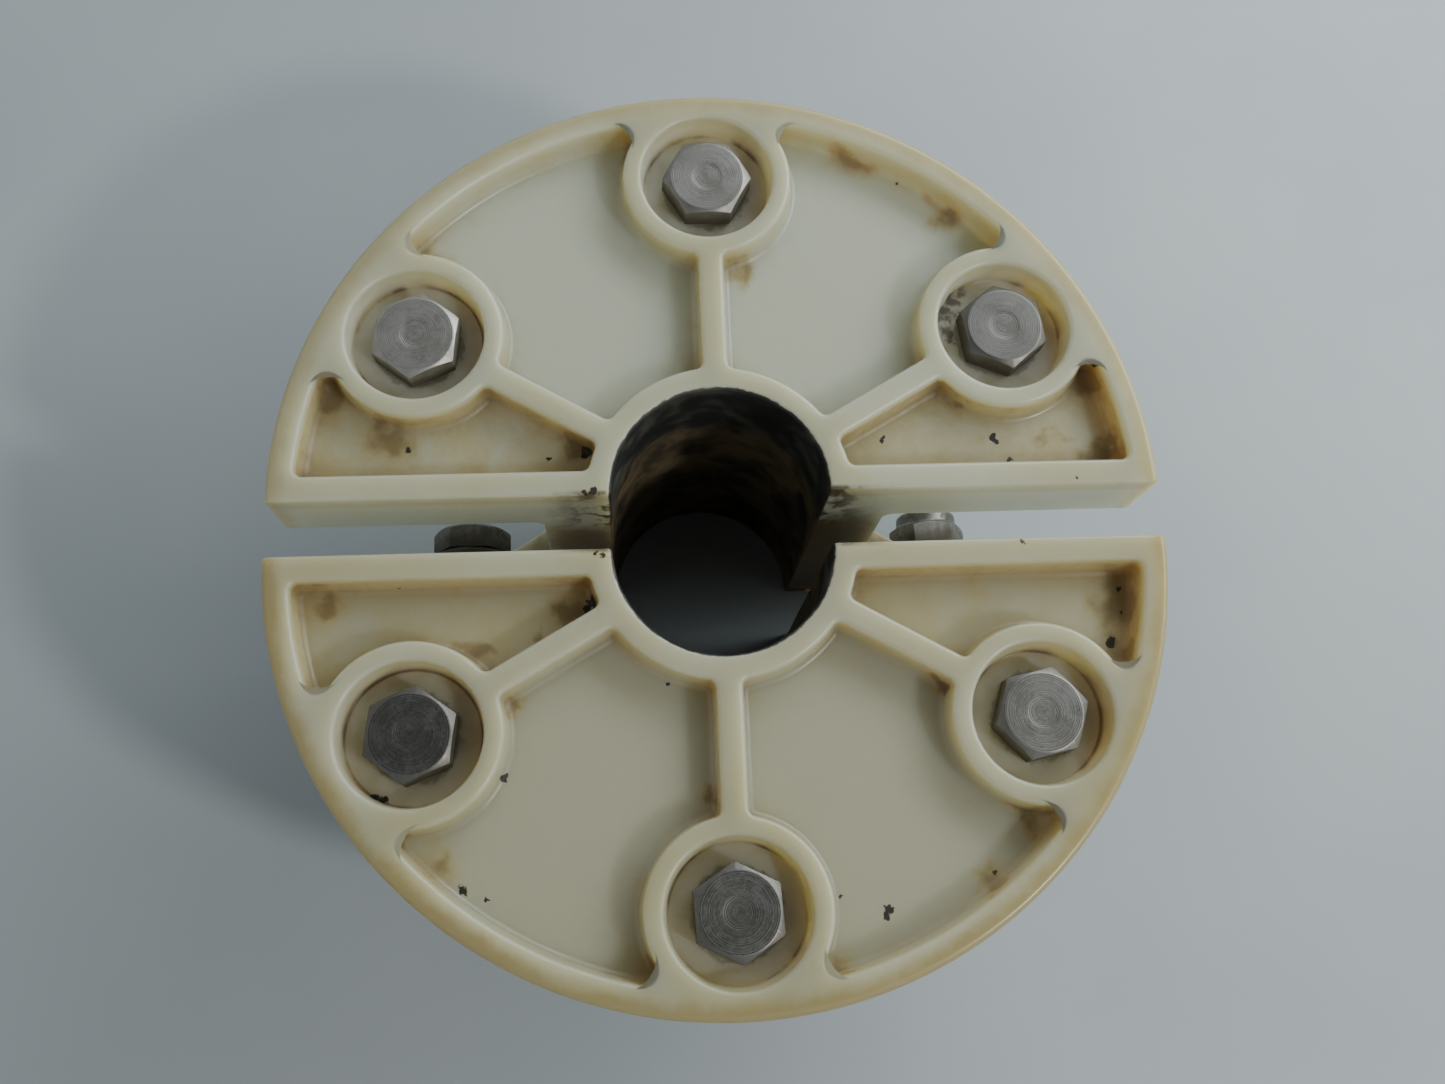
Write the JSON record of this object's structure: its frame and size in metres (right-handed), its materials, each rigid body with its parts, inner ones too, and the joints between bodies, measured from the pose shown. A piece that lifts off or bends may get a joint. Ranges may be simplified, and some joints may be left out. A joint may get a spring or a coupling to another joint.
{
  "type": "split flanged shaft coupling half",
  "caption": "Half of a flanged shaft coupling in cream nylon, split lengthwise; bolted flange, and a hub with lugs that clamp bolts draw together on a shaft.",
  "frame": {"origin": "on the shaft axis, midway between the two halves, in the plane of the hub's free end", "axes": "+Z along the shaft axis from the hub end to the flange's front face; +Y across the split, from the front half to the rear half; +X along the split"},
  "size_m": [0.185, 0.1964, 0.092],
  "materials": {
    "cream_nylon": "moulded, slightly glossy, stained yellow-brown in the corners",
    "stainless_bolt": "turned ring marks on a dull bright head",
    "zinc_steel": "dull, darkened by use"
  },
  "bodies": {
    "rear_half": {"rear_half_body": "cream_nylon", "rear_flange_bolt_1": "stainless_bolt", "rear_flange_washer_1": "zinc_steel", "rear_flange_nut_1": "zinc_steel", "rear_flange_bolt_2": "stainless_bolt", "rear_flange_washer_2": "zinc_steel", "rear_flange_nut_2": "zinc_steel", "rear_flange_bolt_3": "stainless_bolt", "rear_flange_washer_3": "zinc_steel", "rear_flange_nut_3": "zinc_steel", "left_clamp_washer": "zinc_steel", "left_clamp_bolt": "zinc_steel"},
    "front_half": {"front_half_body": "cream_nylon", "front_flange_bolt_1": "stainless_bolt", "front_flange_washer_1": "zinc_steel", "front_flange_nut_1": "zinc_steel", "front_flange_bolt_2": "stainless_bolt", "front_flange_washer_2": "zinc_steel", "front_flange_nut_2": "zinc_steel", "front_flange_bolt_3": "stainless_bolt", "front_flange_washer_3": "zinc_steel", "front_flange_nut_3": "zinc_steel", "right_clamp_washer": "zinc_steel", "right_clamp_bolt": "zinc_steel"},
    "left_nut": {"left_clamp_nut": "zinc_steel"},
    "right_nut": {"right_clamp_nut": "zinc_steel"}
  },
  "joints": [
    {"name": "clamp_slide", "type": "slide", "parent": "rear_half", "child": "front_half", "axis": [0, 1, 0], "range_m": [0, 0.0108]},
    {"name": "left_nut_turn", "type": "hinge", "parent": "front_half", "child": "left_nut", "pos_m": [-0.059, -0.0165, 0.015], "axis": [0, 1, 0], "range_deg": [0, 2600]},
    {"name": "right_nut_turn", "type": "hinge", "parent": "rear_half", "child": "right_nut", "pos_m": [0.059, 0.0165, 0.015], "axis": [0, 1, 0], "range_deg": [-2600, 0]}
  ],
  "couplings": [
    {"joint": "left_nut_turn", "follows": "clamp_slide", "rad_per_m": 4188.8},
    {"joint": "right_nut_turn", "follows": "clamp_slide", "rad_per_m": -4188.8}
  ]
}
